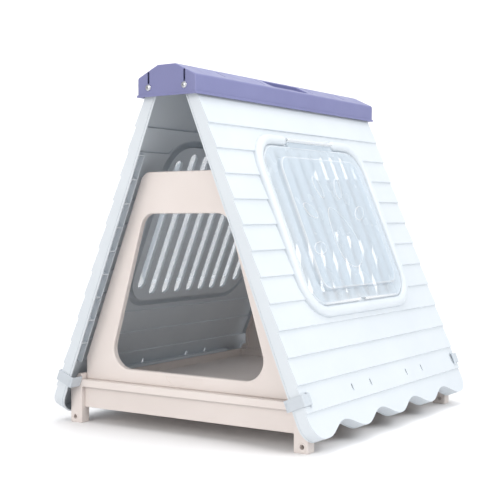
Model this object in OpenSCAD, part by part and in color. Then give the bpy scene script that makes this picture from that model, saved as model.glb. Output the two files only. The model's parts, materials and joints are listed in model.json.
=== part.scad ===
// A-frame pet house: two clapboard side panels hang from a ridge cap and stand on a
// raised base with four legs. Gable panels close the ends, a clear cover hinges over
// each side window, and four corner clips hold the side panels to the base.
// Millimetres. X runs across, Y from front to back, Z up. The origin is on the ground,
// under the middle of the house.

/* [Side panels] */
// Angle of each side panel from upright, in degrees
roof_angle = 22; // [19:1:27]
// Height of one clapboard, measured down the slope
board_pitch = 56; // [46:1:68]
// Number of clapboards on each side
board_count = 13; // [12:1:14]
// How far each board's lower edge stands proud of the next board
board_step = 4; // [2:0.5:5]
// Length of the side panels, front to back
panel_length = 756; // [630:1:910]
// Half the distance between the side panels where the first board starts
ridge_half = 76; // [72:1:84]
// Height of the panels' lower edge above the ground
foot_gap = 34; // [28:1:60]
// Length of panel that hides inside the ridge cap
cap_tuck = 46; // [44:1:47]
// Wall of the moulded panels
wall = 3; // [2.5:0.5:3.5]
// Depth of the return flange round each side panel
flange_depth = 32; // [30:1:36]
// Radius of the lower corners
corner_radius = 42; // [30:1:48]
// Number of arches along the scalloped lower edge
wave_count = 4; // [3:1:6]
// Height of the arches
wave_depth = 25; // [12:1:30]
// Distance from the panel's end to the first low point of the edge
wave_margin = 50; // [49:1:70]

/* [Window] */
// Distance from the first board's top to the outside of the window bead
window_top = 69; // [60:1:90]
// Window width over the bead, front to back
window_width = 502; // [480:1:520]
// Window height over the bead, down the slope
window_height = 424; // [400:1:440]
// Width of the raised bead
bead_width = 24; // [20:1:28]
// Height of the bead over the outermost board face
bead_height = 10; // [9:0.5:12]
// Radius of the bead's outer corners
bead_radius = 86; // [70:1:100]
// Width of the hinge gap in the bead's upper run
hinge_gap = 206; // [150:1:240]
// Number of long slots behind each cover
slot_count = 9; // [7:2:9]
// Distance from slot to slot
slot_pitch = 49; // [44:1:50]
// Width of each slot
slot_width = 25; // [18:1:28]
// Thickness of the slotted window plate
plate_thickness = 6; // [4:0.5:8]

/* [Window cover] */
// Gap between the cover and the bead
cover_gap = 3; // [2:0.5:6]
// Thickness of the clear cover
cover_thickness = 2.5; // [2:0.5:3]
// Height of the cover's raised middle over the board faces
cover_rise = 16; // [12:1:20]
// Width of the cover's flat margin at its sides
cover_side_margin = 44; // [36:1:60]
// Width of the cover's flat margin at its top and bottom
cover_end_margin = 29; // [24:1:40]
// Diameter of the cover's hinge rod
rod_diameter = 4; // [3:0.5:5]
// Outer diameter of the cover's hinge barrel
barrel_diameter = 10; // [8:0.5:10]
// Height of the paw relief on the cover
relief_height = 0.8; // [0.4:0.1:1.5]
// Number of toes in the paw relief
toe_count = 5; // [4:1:5]

/* [Ridge cap] */
// How far the cap reaches past the side panels at each end
cap_overhang = 15; // [12:1:20]
// Wall of the cap
cap_wall = 2.5; // [2:0.5:3]
// Height of the cap's upright sides
cap_side_height = 40; // [38:1:46]
// Height of the cap's sloping shoulders
cap_shoulder_height = 25; // [22:1:28]
// Half width of the cap's flat top
cap_top_half = 23; // [18:1:28]
// Clear space between the cap and each panel at the cap's lower edge
cap_clearance = 3.5; // [3:0.5:6]
// How far the cap's lower lip stands out
cap_lip = 3; // [2:0.5:4]
// Length of the hand hold in each shoulder
hand_hold_length = 160; // [110:1:180]
// Depth of the hand hold
hand_hold_depth = 8; // [5:0.5:8]
// Diameter of the ridge screws
screw_diameter = 6; // [5:0.5:8]
// Diameter of the screw heads
screw_head_diameter = 14; // [12:0.5:16]

/* [Gables] */
// Distance of the gable panels behind the side panels' ends
gable_setback = 45; // [40:1:60]
// Depth of the gable panels
gable_depth = 14; // [10:1:18]
// Height of the open triangle left above each gable
gable_opening = 147; // [120:1:200]
// Distance from the side panels' outer faces to the gable's sloping edges
gable_inset = 23; // [22:1:30]
// Height of the door sill over the ledge
sill_height = 30; // [24:1:60]
// Distance from the gable's top to the top of the door opening
door_header = 90; // [60:1:110]
// Half width of the door opening at its top
door_top_half = 110; // [80:1:115]
// Half width of the door opening at its sill
door_sill_half = 212; // [180:1:225]
// Number of vent slots in the rear gable
vent_count = 7; // [3:2:9]

/* [Base] */
// Height of the ledge that the gables stand on
ledge_height = 99; // [90:1:120]
// Height of the ledge's front face
rim_height = 17; // [14:1:24]
// Thickness of the base mouldings
base_wall = 4; // [3:0.5:5]
// Distance of the legs behind the side panels' ends
leg_setback = 29; // [26:1:34]
// Distance from the panels' foot to the outside of the legs
leg_inset = 37; // [36:1:44]
// Width of each leg
leg_width = 33; // [28:1:36]
// Depth of each leg, front to back
leg_depth = 26; // [24:1:34]
// Height of the apron's lower edge above the ground
apron_gap = 35; // [24:1:50]
// How far the apron stands back from the ledge
apron_recess = 12; // [6:1:14]
// Diameter of the peg hole through each leg
peg_hole_diameter = 10; // [6:0.5:12]

/* [Corner clips] */
// Width of each clip, down the slope
clip_width = 24; // [18:1:26]
// Distance from the panels' foot to the middle of the clips
clip_rise = 82; // [80:1:90]
// Thickness of the clips
clip_thickness = 3; // [2.5:0.5:3.5]
// Distance from the panel's end to the clip's hinge
clip_reach = 22; // [19:1:22]
// How far the clip's grip reaches past the flange
clip_grip = 10; // [10:1:16]
// Diameter of the moulded bar that each clip turns on
clip_bar_diameter = 3; // [2.5:0.5:3]

/* [Fits] */
// Radial clearance of a turning fit
turning_fit = 0.08; // [0.02:0.01:0.1]
// Clearance between pieces that rest against each other
rest_gap = 0.3; // [0.2:0.1:0.4]

/* [Hidden] */
$fn = 48;

panel_blue = "#dfe4e8";
cap_violet = "#767aa8";
warm_white = "#dcd2cb";
clip_grey = "#aeb6bf";
clear_blue = [0.86, 0.92, 0.96, 0.6];
steel = "#b9bcc0";

// Side panel: u runs down the slope from the first board, w stands out from the boards
panel_foot = board_count * board_pitch;
half_length = panel_length / 2;
first_board_z = foot_gap + panel_foot * cos(roof_angle);
foot_half = ridge_half + panel_foot * sin(roof_angle);
wave_span = panel_length - 2 * wave_margin;
wave_pitch = wave_span / wave_count;
wave_steps = 16;
corner_steps = 8;
groove_width = 1.5;
groove_depth = 0.8;
groove_from_edge = 3.5;

// Ridge pivot, in the panel's own directions
pivot_u = -34;
pivot_w = -18;
pivot_x = ridge_half + pivot_u * sin(roof_angle) + pivot_w * cos(roof_angle);
pivot_z = first_board_z - pivot_u * cos(roof_angle) + pivot_w * sin(roof_angle);
pivot_boss_radius = 8;
nut_height = 5;
screw_past_nut = 2;

// Ridge cap
cap_lift = 6;
cap_bottom = first_board_z + cap_lift;
tucked_face_x = ridge_half - (cap_bottom - first_board_z) * tan(roof_angle) - board_step / cos(roof_angle);
cap_half = tucked_face_x + cap_clearance + cap_wall;
cap_shoulder_z = cap_bottom + cap_side_height;
cap_top = cap_shoulder_z + cap_shoulder_height;
cap_half_length = half_length + cap_overhang;
cap_lip_height = 5;
cap_boss_radius = pivot_boss_radius + 1;
shoulder_run = cap_half - cap_top_half;
shoulder_angle = atan(cap_shoulder_height / shoulder_run);
shoulder_width = sqrt(shoulder_run * shoulder_run + cap_shoulder_height * cap_shoulder_height);
shoulder_slot_length = 30;
shoulder_slot_width = 4;
shoulder_slot_lift = 2;
hand_hold_lift = 1;

// Window
bead_middle_u = window_top + bead_width / 2;
window_middle_u = window_top + window_height / 2;
opening_width = window_width - 2 * bead_width;
opening_height = window_height - 2 * bead_width;
opening_radius = bead_radius - bead_width;
rod_w = barrel_diameter / 2;
rod_seat = 12;
rod_half = hinge_gap / 2 + rod_seat - rest_gap;
slot_bottom_margin = 22;
plate_top_w = -3;

// Window cover
cover_width = opening_width - 2 * cover_gap;
cover_height = opening_height - 2 * cover_gap;
cover_radius = opening_radius - cover_gap;
cover_base_w = 1;
raised_width = cover_width - 2 * cover_side_margin;
raised_height = cover_height - 2 * cover_end_margin;
raised_radius = 35;
finger_notch_width = 26;
finger_notch_depth = 6;
tongue_side_gap = 2;

// Paw relief: where its pad's middle lies from the cover's middle, and its fan of toes
paw_place = [38, -12];
paw_tilt = 19;
toe_fan = 41;
toe_radius = 127;
toe_length = 56;
toe_breadth = 30;
pad_length = 150;
pad_breadth = 128;

// Gables
ledge_top = ledge_height;
gable_leg_gap = 1;
gable_top = first_board_z - gable_opening;
gable_half = foot_half - leg_inset - leg_width - gable_leg_gap;
gable_front_y = half_length - gable_setback;
sill_z = ledge_top + sill_height;
door_top = gable_top - door_header;
tab_x = 117;
tab_width = 26;
tab_height = 8;
tab_clearance = 0.5;
gable_top_radius = 26;
gable_foot_radii = [4, 6];
door_head_radius = 34;
door_foot_radius = 44;

// Base
leg_outer = foot_half - leg_inset;
leg_inner = leg_outer - leg_width;
leg_front = half_length - leg_setback;
leg_shoulder_z = 80;
leg_rise = 13;
leg_top_z = ledge_top + leg_rise;
leg_top_width = 11;
rim_from_leg = 9;
rim_half = leg_outer - rim_from_leg;
rim_bottom = ledge_top - rim_height;
ledge_behind_gable = 5;
ledge_width = gable_setback - leg_setback + gable_depth + ledge_behind_gable;
side_ledge_width = 14;
tray_floor_z = rim_bottom - base_wall;

// Ladder of ribs inside the ends of each side panel
ladder_near = 8;
ladder_far = 38;
ladder_rib = 2.5;
ladder_reach = 19;
ladder_top_u = 2 * board_pitch;
ladder_end_u = panel_foot - 2.1 * board_pitch;

// Seat that carries each side panel on the base's ledge
seat_height = 6;
seat_reach = 11;
seat_from_end = 130;
seat_length = panel_length - 2 * seat_from_end;

// Clips: t runs in from the panel's end
clip_u = panel_foot - clip_rise;
clip_hinge_w = 2.3;
clip_barrel_wall = 1.3;
clip_barrel_radius = clip_bar_diameter / 2 + clip_barrel_wall;
clip_ear = 3;
clip_end_w = -flange_depth - clip_grip;
clip_slot_offset = 5;
clip_slot_width = 3;
grip_rib_count = 3;
grip_rib_radius = 1;

// Short slots along the foot: down the slope, and front to back
foot_slot_size = [15, 5];
foot_slot_places = [-172, -89, 89, 172];

// Rounded rectangle round the origin
module rounded_box(size_x, size_y, radius) {
    square([size_x, size_y - 2 * radius], center = true);
    square([size_x - 2 * radius, size_y], center = true);
    for (sx = [-1, 1], sy = [-1, 1])
        translate([sx * (size_x / 2 - radius), sy * (size_y / 2 - radius)])
            circle(radius);
}

// Slot with round ends along X
module round_slot(slot_length, slot_size) {
    square([slot_length - slot_size, slot_size], center = true);
    for (side = [-1, 1])
        translate([side * (slot_length - slot_size) / 2, 0])
            circle(slot_size / 2);
}

// Cylinder along Y
module y_cylinder(from, to, radius) {
    translate([0, from, 0])
        rotate([-90, 0, 0])
            cylinder(h = to - from, r = radius);
}

// Places children in the directions of the right side panel
module on_right_slope() {
    translate([ridge_half, 0, first_board_z])
        rotate([0, 90 - roof_angle, 0])
            children();
}

module on_left_slope() {
    mirror([1, 0, 0])
        on_right_slope()
            children();
}

// X of the side panel's outer face at a height
function face_x(z) = ridge_half + (first_board_z - z) * tan(roof_angle);

// Scalloped lower edge and its slope
function wave_u(y) = panel_foot - wave_depth / 2 * (1 - cos(360 * (y + wave_span / 2) / wave_pitch));
function wave_slope(y) = -wave_depth * PI / wave_pitch * sin(360 * (y + wave_span / 2) / wave_pitch);
function wave_point(y, inset) =
    let (slope = wave_slope(y), run = sqrt(1 + slope * slope))
    [wave_u(y) - inset / run, y + inset * slope / run];

function corner_point(angle, inset, side) = [
    panel_foot - corner_radius + (corner_radius - inset) * sin(angle),
    side * (half_length - corner_radius + (corner_radius - inset) * cos(angle))
];

// Outline of a side panel, drawn in from its edge by an inset
function panel_outline(inset) = concat(
    [[-cap_tuck + inset, -half_length + inset]],
    [for (i = [0 : corner_steps]) corner_point(90 * i / corner_steps, inset, -1)],
    [
        for (i = [0 : wave_count * wave_steps])
            wave_point(-wave_span / 2 + i * wave_pitch / wave_steps, inset)
    ],
    [for (i = [corner_steps : -1 : 0]) corner_point(90 * i / corner_steps, inset, 1)],
    [[-cap_tuck + inset, half_length - inset]]
);

// Stepped line of the boards, moved up the slope and inward by an inset
function board_line(inset) = [
    for (k = [0 : board_count - 1], end = [0, 1])
        [(k + end) * board_pitch - inset, (end - 1) * board_step - inset]
];

module below_boards(inset, depth) {
    rotate([90, 0, 0])
        linear_extrude(2 * panel_length, center = true)
            polygon(concat(
                [[-2 * cap_tuck, -board_step - inset]],
                board_line(inset),
                [[panel_foot + cap_tuck, -inset], [panel_foot + cap_tuck, -depth], [-2 * cap_tuck, -depth]]
            ));
}

module outline_block(inset, depth, rise) {
    translate([0, 0, -depth])
        linear_extrude(depth + rise)
            polygon(panel_outline(inset));
}

module panel_tray() {
    difference() {
        intersection() {
            outline_block(0, flange_depth, 1);
            below_boards(0, flange_depth);
        }
        intersection() {
            outline_block(wall, flange_depth + 1, 1);
            below_boards(wall, flange_depth + 1);
        }
    }
}

// Fine groove that leaves a bead along the flange's inner edge
module flange_groove() {
    translate([0, 0, -flange_depth + groove_from_edge])
        linear_extrude(groove_width)
            difference() {
                square([3 * panel_foot, 2 * panel_length], center = true);
                polygon(panel_outline(groove_depth));
            }
}

module window_ring(inset) {
    difference() {
        rounded_box(window_height - 2 * inset, window_width - 2 * inset, bead_radius - inset);
        rounded_box(opening_height + 2 * inset, opening_width + 2 * inset, opening_radius + inset);
        translate([-window_height / 2, 0])
            square([4 * bead_width, hinge_gap + 6 * inset], center = true);
    }
}

module window_bead() {
    crown = bead_width / 5;
    translate([window_middle_u, 0, -board_step - 1]) {
        linear_extrude(board_step + 1 + bead_height - crown)
            window_ring(0);
        linear_extrude(board_step + 1 + bead_height)
            window_ring(crown);
    }
}

// Long slots follow the window's rounded outline
function slot_drop(i) =
    let (y = abs(i) * slot_pitch + slot_width / 2, edge = opening_width / 2 - opening_radius)
    y < edge ? 0 : opening_radius - sqrt(pow(opening_radius, 2) - pow(y - edge, 2));

module window_slots(depth) {
    side_slots = (slot_count - 1) / 2;
    for (i = [-side_slots : side_slots])
        translate([window_middle_u, i * slot_pitch, -depth])
            linear_extrude(depth)
                round_slot(opening_height - slot_bottom_margin - 2 * slot_drop(i), slot_width);
}

// The ladder's ribs end halfway through the boards' wall
module end_ladder() {
    module rail(t) {
        translate([ladder_top_u, -half_length + t, -ladder_reach])
            cube([ladder_end_u - ladder_top_u, ladder_rib, ladder_reach]);
    }
    intersection() {
        union() {
            rail(ladder_near);
            rail(ladder_far);
            for (u = [ladder_top_u : board_pitch : ladder_end_u])
                translate([u, -half_length + ladder_near, -ladder_reach])
                    cube([ladder_rib, ladder_far - ladder_near, ladder_reach]);
        }
        below_boards(wall / 2, flange_depth);
    }
}

// Horizontal ledge that stands on the base
module panel_seat() {
    seat_low = ledge_top + rest_gap;
    seat_high = seat_low + seat_height;
    // horizontal distance from the boards' face to inside the panel's wall
    hold = (wall + 1) / cos(roof_angle) - 1;
    translate([0, seat_length / 2, 0])
        rotate([90, 0, 0])
            linear_extrude(seat_length)
                polygon([
                    [rim_half - seat_reach, seat_low],
                    [face_x(seat_low) - hold, seat_low],
                    [face_x(seat_high) - hold, seat_high],
                    [rim_half - seat_reach, seat_high]
                ]);
}

module clip_ears() {
    for (side = [-1, 1])
        translate([clip_u + side * (clip_width / 2 + rest_gap + clip_ear / 2), 0, 0]) {
            translate([0, -half_length + clip_reach, -wall])
                linear_extrude(wall + clip_hinge_w)
                    square([clip_ear, 2 * clip_barrel_radius], center = true);
            translate([-clip_ear / 2, -half_length + clip_reach, clip_hinge_w])
                rotate([0, 90, 0])
                    cylinder(h = clip_ear, r = clip_barrel_radius);
        }
    translate([clip_u - clip_width / 2 - clip_ear, -half_length + clip_reach, clip_hinge_w])
        rotate([0, 90, 0])
            cylinder(h = clip_width + 2 * clip_ear, d = clip_bar_diameter);
}

module panel_end_details() {
    end_ladder();
    clip_ears();
    translate([pivot_u, -half_length, pivot_w])
        y_cylinder(0, 2 * wall, pivot_boss_radius);
}

// Short slots in a row with the clips, and one behind each clip's hinge
module foot_slots() {
    for (y = foot_slot_places)
        translate([clip_u, y, -flange_depth / 2])
            linear_extrude(flange_depth)
                square(foot_slot_size, center = true);
    for (side = [-1, 1])
        translate([clip_u, side * (half_length - clip_reach - clip_slot_offset), -flange_depth / 2])
            linear_extrude(flange_depth)
                square([clip_width - 2, clip_slot_width], center = true);
}

module side_panel_shape() {
    pivot_radius = screw_diameter / 2 + turning_fit;
    on_right_slope()
        difference() {
            union() {
                panel_tray();
                window_bead();
                translate([window_middle_u, 0, plate_top_w - plate_thickness])
                    linear_extrude(plate_thickness)
                        rounded_box(
                            window_height - bead_width,
                            window_width - bead_width,
                            bead_radius - bead_width / 2
                        );
                panel_end_details();
                mirror([0, 1, 0])
                    panel_end_details();
            }
            flange_groove();
            // space inside the bead's opening, above the slotted plate
            translate([window_middle_u, 0, plate_top_w])
                linear_extrude(bead_height + flange_depth)
                    rounded_box(opening_height, opening_width, opening_radius);
            window_slots(flange_depth);
            // hollow behind the bead
            translate([window_middle_u, 0, -flange_depth])
                linear_extrude(flange_depth + bead_height - wall - bead_width / 5)
                    window_ring(wall + 1);
            // seats of the hinge rod
            translate([bead_middle_u, 0, rod_w])
                y_cylinder(-rod_half - rest_gap, rod_half + rest_gap, rod_diameter / 2 + turning_fit);
            foot_slots();
            for (side = [-1, 1])
                translate([pivot_u, 0, pivot_w])
                    y_cylinder(side * half_length - 3 * wall, side * half_length + 3 * wall, pivot_radius);
        }
    panel_seat();
}

module left_side_panel() {
    color(panel_blue)
        mirror([1, 0, 0])
            side_panel_shape();
}

module right_side_panel() {
    color(panel_blue)
        side_panel_shape();
}

module oval(length_x, length_y) {
    polygon([for (angle = [0 : 15 : 345]) [length_x / 2 * cos(angle), length_y / 2 * sin(angle)]]);
}

// One pad, narrower on its toe side, and an even fan of oval toes
module paw_relief() {
    translate(paw_place)
        rotate(paw_tilt) {
            polygon([
                for (angle = [0 : 12 : 348])
                    [pad_length / 2 * cos(angle), pad_breadth / 2 * sin(angle) * (0.8 + 0.25 * cos(angle))]
            ]);
            for (i = [0 : toe_count - 1])
                rotate((i - (toe_count - 1) / 2) * toe_fan)
                    translate([-toe_radius, 0])
                        oval(toe_length, toe_breadth);
        }
}

module cover_shape() {
    skin = cover_thickness;
    tongue_start = window_middle_u - cover_height / 2;
    tongue_half = hinge_gap / 2 - tongue_side_gap;
    translate([window_middle_u, 0, cover_base_w])
        difference() {
            union() {
                linear_extrude(skin)
                    rounded_box(cover_height, cover_width, cover_radius);
                linear_extrude(cover_rise - cover_base_w)
                    rounded_box(raised_height, raised_width, raised_radius);
                translate([0, 0, cover_rise - cover_base_w])
                    linear_extrude(relief_height)
                        paw_relief();
            }
            translate([0, 0, -1])
                linear_extrude(cover_rise - cover_base_w - skin + 1)
                    rounded_box(raised_height - 2 * skin, raised_width - 2 * skin, raised_radius - skin);
            translate([cover_height / 2, 0, -1])
                linear_extrude(cover_rise)
                    square([2 * finger_notch_depth, finger_notch_width], center = true);
        }
    difference() {
        union() {
            translate([bead_middle_u, -tongue_half, cover_base_w])
                cube([tongue_start - bead_middle_u + 1, 2 * tongue_half, skin]);
            translate([bead_middle_u, 0, rod_w])
                y_cylinder(-tongue_half, tongue_half, barrel_diameter / 2);
        }
        translate([bead_middle_u, 0, rod_w])
            y_cylinder(-hinge_gap, hinge_gap, rod_diameter / 2 + turning_fit);
    }
}

module left_window_cover() {
    color(clear_blue)
        on_left_slope()
            cover_shape();
}

module right_window_cover() {
    color(clear_blue)
        on_right_slope()
            cover_shape();
}

module hinge_rod_shape() {
    translate([bead_middle_u, 0, rod_w])
        y_cylinder(-rod_half, rod_half, rod_diameter / 2);
}

module left_hinge_rod() {
    color(steel)
        on_left_slope()
            hinge_rod_shape();
}

module right_hinge_rod() {
    color(steel)
        on_right_slope()
            hinge_rod_shape();
}

// Clip at the front of the right side panel
module clip_shape() {
    outer_w = rest_gap + clip_thickness;
    module tab_and_web() {
        translate([-rest_gap - clip_thickness, rest_gap])
            square([clip_reach + rest_gap + clip_thickness, clip_thickness]);
        translate([-rest_gap - clip_thickness, clip_end_w])
            square([clip_thickness, outer_w - clip_end_w]);
        translate([-rest_gap - clip_thickness, clip_end_w])
            square([leg_setback + clip_thickness, clip_thickness]);
        for (i = [1 : grip_rib_count])
            translate([-rest_gap - clip_thickness, clip_end_w + i * clip_grip / (grip_rib_count + 1)])
                circle(grip_rib_radius, $fn = 16);
    }
    translate([clip_u - clip_width / 2, -half_length, 0])
        difference() {
            union() {
                rotate([90, 0, 90])
                    linear_extrude(clip_width)
                        tab_and_web();
                translate([0, clip_reach, clip_hinge_w])
                    rotate([0, 90, 0])
                        cylinder(h = clip_width, r = clip_barrel_radius);
            }
            translate([-1, clip_reach, clip_hinge_w])
                rotate([0, 90, 0])
                    cylinder(h = clip_width + 2, r = clip_bar_diameter / 2 + turning_fit);
        }
}

module front_left_clip() {
    color(clip_grey)
        on_left_slope()
            clip_shape();
}

module front_right_clip() {
    color(clip_grey)
        on_right_slope()
            clip_shape();
}

module rear_left_clip() {
    color(clip_grey)
        on_left_slope()
            mirror([0, 1, 0])
                clip_shape();
}

module rear_right_clip() {
    color(clip_grey)
        on_right_slope()
            mirror([0, 1, 0])
                clip_shape();
}

// Section of the cap, drawn in by an inset
module cap_section(inset) {
    shoulder_shift = inset * tan(shoulder_angle / 2);
    polygon([
        [-cap_half + inset, cap_bottom],
        [cap_half - inset, cap_bottom],
        [cap_half - inset, cap_shoulder_z - shoulder_shift],
        [cap_top_half - shoulder_shift, cap_top - inset],
        [-cap_top_half + shoulder_shift, cap_top - inset],
        [-cap_half + inset, cap_shoulder_z - shoulder_shift]
    ]);
}

module cap_run(inset, half_run) {
    translate([0, half_run, 0])
        rotate([90, 0, 0])
            linear_extrude(2 * half_run)
                cap_section(inset);
}

// Places children on a shoulder: X down the shoulder, Z out of it
module on_shoulder(side) {
    mirror([side < 0 ? 1 : 0, 0, 0])
        translate([cap_top_half, 0, cap_top])
            rotate([0, shoulder_angle, 0])
                children();
}

// Recess of a hand hold, or with a wall round it the moulding that holds it
module hand_hold(wall_round) {
    margin = 10;
    corner = 10;
    open_above = wall_round > 0 ? 0 : 5;
    translate([shoulder_width / 2 - hand_hold_lift, 0, -hand_hold_depth - wall_round])
        linear_extrude(hand_hold_depth + wall_round + open_above)
            rounded_box(
                shoulder_width - 2 * margin + 2 * wall_round,
                hand_hold_length + 2 * wall_round,
                corner + wall_round
            );
}

module ridge_cap() {
    slot_places = [110, 264];
    end_slot_width = 5;
    end_slot_start = screw_head_diameter / 2 + 1;
    end_slot_run = 25;
    cap_inside = [2 * (cap_half - cap_wall), 2 * (cap_half_length - cap_wall)];
    color(cap_violet)
        difference() {
            union() {
                difference() {
                    cap_run(0, cap_half_length);
                    translate([0, 0, -1])
                        cap_run(cap_wall, cap_half_length - cap_wall);
                    translate([0, 0, cap_bottom - 1])
                        linear_extrude(2)
                            square(cap_inside, center = true);
                }
                // lip round the lower edge
                translate([0, 0, cap_bottom])
                    linear_extrude(cap_lip_height)
                        difference() {
                            square([2 * (cap_half + cap_lip), 2 * (cap_half_length + 1)], center = true);
                            square(cap_inside, center = true);
                        }
                for (side = [-1, 1])
                    on_shoulder(side)
                        hand_hold(cap_wall);
                for (sx = [-1, 1], sy = [-1, 1])
                    translate([sx * pivot_x, 0, pivot_z])
                        y_cylinder(
                            sy > 0 ? half_length + rest_gap : -cap_half_length + 1,
                            sy > 0 ? cap_half_length - 1 : -half_length - rest_gap,
                            cap_boss_radius
                        );
            }
            for (side = [-1, 1])
                on_shoulder(side) {
                    hand_hold(0);
                    for (place = slot_places, sy = [-1, 1])
                        translate([shoulder_width / 2 - shoulder_slot_lift, sy * place, -2 * cap_wall])
                            linear_extrude(4 * cap_wall)
                                round_slot(shoulder_slot_length, shoulder_slot_width);
                }
            // upright slots over the screws
            for (sx = [-1, 1], sy = [-1, 1])
                translate([sx * pivot_x, sy * cap_half_length, pivot_z + end_slot_start + end_slot_run / 2])
                    cube([end_slot_width, 6 * cap_wall, end_slot_run], center = true);
            for (sx = [-1, 1])
                translate([sx * pivot_x, 0, pivot_z])
                    y_cylinder(-2 * cap_half_length, 2 * cap_half_length, screw_diameter / 2 + turning_fit);
        }
}

// Screw at the front of the right side panel's pivot
module screw_shape() {
    head_radius = screw_head_diameter / 2;
    head_height = 4;
    socket_width = 4.6;
    socket_depth = 2.5;
    shank_end = -half_length + 2 * wall + rest_gap + nut_height + screw_past_nut;
    translate([pivot_x, 0, pivot_z])
        difference() {
            union() {
                y_cylinder(-cap_half_length, shank_end, screw_diameter / 2);
                rotate([90, 0, 0])
                    translate([0, 0, cap_half_length])
                        rotate_extrude()
                            polygon([
                                [0, 0], [head_radius, 0], [head_radius, 0.3 * head_height],
                                [head_radius - 1, 0.7 * head_height], [head_radius - 3, head_height],
                                [0, head_height]
                            ]);
            }
            translate([0, -cap_half_length - head_height + socket_depth, 0])
                rotate([90, 0, 0])
                    cylinder(h = head_height, d = socket_width, $fn = 6);
        }
}

module front_right_screw() {
    color(steel)
        screw_shape();
}

module front_left_screw() {
    color(steel)
        mirror([1, 0, 0])
            screw_shape();
}

module rear_right_screw() {
    color(steel)
        mirror([0, 1, 0])
            screw_shape();
}

module rear_left_screw() {
    color(steel)
        mirror([0, 1, 0])
            mirror([1, 0, 0])
                screw_shape();
}

// Nut behind the pivot boss of the front right pivot
module nut_shape() {
    nut_width = 11.5;
    nut_start = -half_length + 2 * wall + rest_gap;
    translate([pivot_x, nut_start, pivot_z])
        rotate([-90, 0, 0])
            difference() {
                cylinder(h = nut_height, d = nut_width, $fn = 6);
                translate([0, 0, -1])
                    cylinder(h = nut_height + 2, r = screw_diameter / 2 + turning_fit);
            }
}

module front_right_nut() {
    color(steel)
        nut_shape();
}

module front_left_nut() {
    color(steel)
        mirror([1, 0, 0])
            nut_shape();
}

module rear_right_nut() {
    color(steel)
        mirror([0, 1, 0])
            nut_shape();
}

module rear_left_nut() {
    color(steel)
        mirror([0, 1, 0])
            mirror([1, 0, 0])
                nut_shape();
}

// Points of an outline with its corners rounded by the radii given
function corner_arc(before, here, after, radius, steps) =
    let (
        to_before = (before - here) / norm(before - here),
        to_after = (after - here) / norm(after - here),
        half_turn = acos(max(-1, min(1, to_before * to_after))) / 2,
        middle = (to_before + to_after) / norm(to_before + to_after),
        centre = here + middle * radius / sin(half_turn),
        start = here + to_before * radius / tan(half_turn) - centre,
        finish = here + to_after * radius / tan(half_turn) - centre,
        start_angle = atan2(start[1], start[0]),
        sweep = (atan2(finish[1], finish[0]) - start_angle + 540) % 360 - 180
    )
    [
        for (i = [0 : steps], angle = start_angle + sweep * i / steps)
            centre + radius * [cos(angle), sin(angle)]
    ];

function rounded_outline(points, radii, steps = 8) = [
    let (count = len(points))
    for (i = [0 : count - 1])
        let (before = points[(i + count - 1) % count], after = points[(i + 1) % count])
            each corner_arc(before, points[i], after, radii[i], steps)
];

// Mirrors the right-hand points of an outline that runs up from its foot
function both_sides(points) = concat(
    points,
    [for (i = [len(points) - 1 : -1 : 0]) [-points[i][0], points[i][1]]]
);

// Gable's outline, drawn in from its edge by an inset
function gable_line(z, inset) = face_x(z) - (gable_inset + inset) / cos(roof_angle);
function gable_knee(inset) =
    let (slope_x = gable_half - inset + (gable_inset + inset) / cos(roof_angle))
    first_board_z - (slope_x - ridge_half) / tan(roof_angle);
function gable_outline(inset) = rounded_outline(
    both_sides([
        [gable_half - inset, ledge_top + inset],
        [gable_half - inset, gable_knee(inset)],
        [gable_line(gable_top - inset, inset), gable_top - inset]
    ]),
    [
        gable_foot_radii[0], gable_foot_radii[1], gable_top_radius - inset,
        gable_top_radius - inset, gable_foot_radii[1], gable_foot_radii[0]
    ]
);

// Door opening, let out from its edge by an outset
door_run = (door_sill_half - door_top_half) / (door_top - sill_z);
function door_line(z, outset) =
    door_top_half + (door_top - z) * door_run + outset * sqrt(1 + door_run * door_run);
function door_outline(outset) = rounded_outline(
    both_sides([
        [door_line(sill_z - outset, outset), sill_z - outset],
        [door_line(door_top + outset, outset), door_top + outset]
    ]),
    [
        door_foot_radius + outset, door_head_radius + outset,
        door_head_radius + outset, door_foot_radius + outset
    ]
);

module gable_solid(depth) {
    rotate([90, 0, 0])
        linear_extrude(depth)
            children();
}

// Moulded gable: a thin face with returns round its edge, face towards -Y
module gable_shell() {
    difference() {
        gable_solid(gable_depth)
            polygon(gable_outline(0));
        translate([0, 1, 0])
            gable_solid(gable_depth + 1 - wall)
                polygon(gable_outline(wall));
    }
    for (side = [-1, 1])
        translate([side * tab_x - tab_width / 2, -wall - gable_depth / 2, ledge_top - tab_height])
            cube([tab_width, wall, tab_height + wall]);
}

module front_gable() {
    recess_top = sill_z - 6;
    recess_half = 55;
    recess_drop = 20;
    recess_slant = 24;
    recess_depth = 1.5;
    color(warm_white)
        translate([0, -gable_front_y + gable_depth, 0])
            difference() {
                union() {
                    gable_shell();
                    gable_solid(gable_depth)
                        polygon(door_outline(wall));
                }
                translate([0, 1, 0])
                    gable_solid(gable_depth + 2)
                        polygon(door_outline(0));
                // shallow finger recess in the sill
                translate([0, -gable_depth + recess_depth, 0])
                    gable_solid(2 * recess_depth)
                        polygon([
                            [-recess_half, recess_top], [recess_half, recess_top],
                            [recess_half - recess_slant, recess_top - recess_drop],
                            [-recess_half + recess_slant, recess_top - recess_drop]
                        ]);
            }
}

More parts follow.
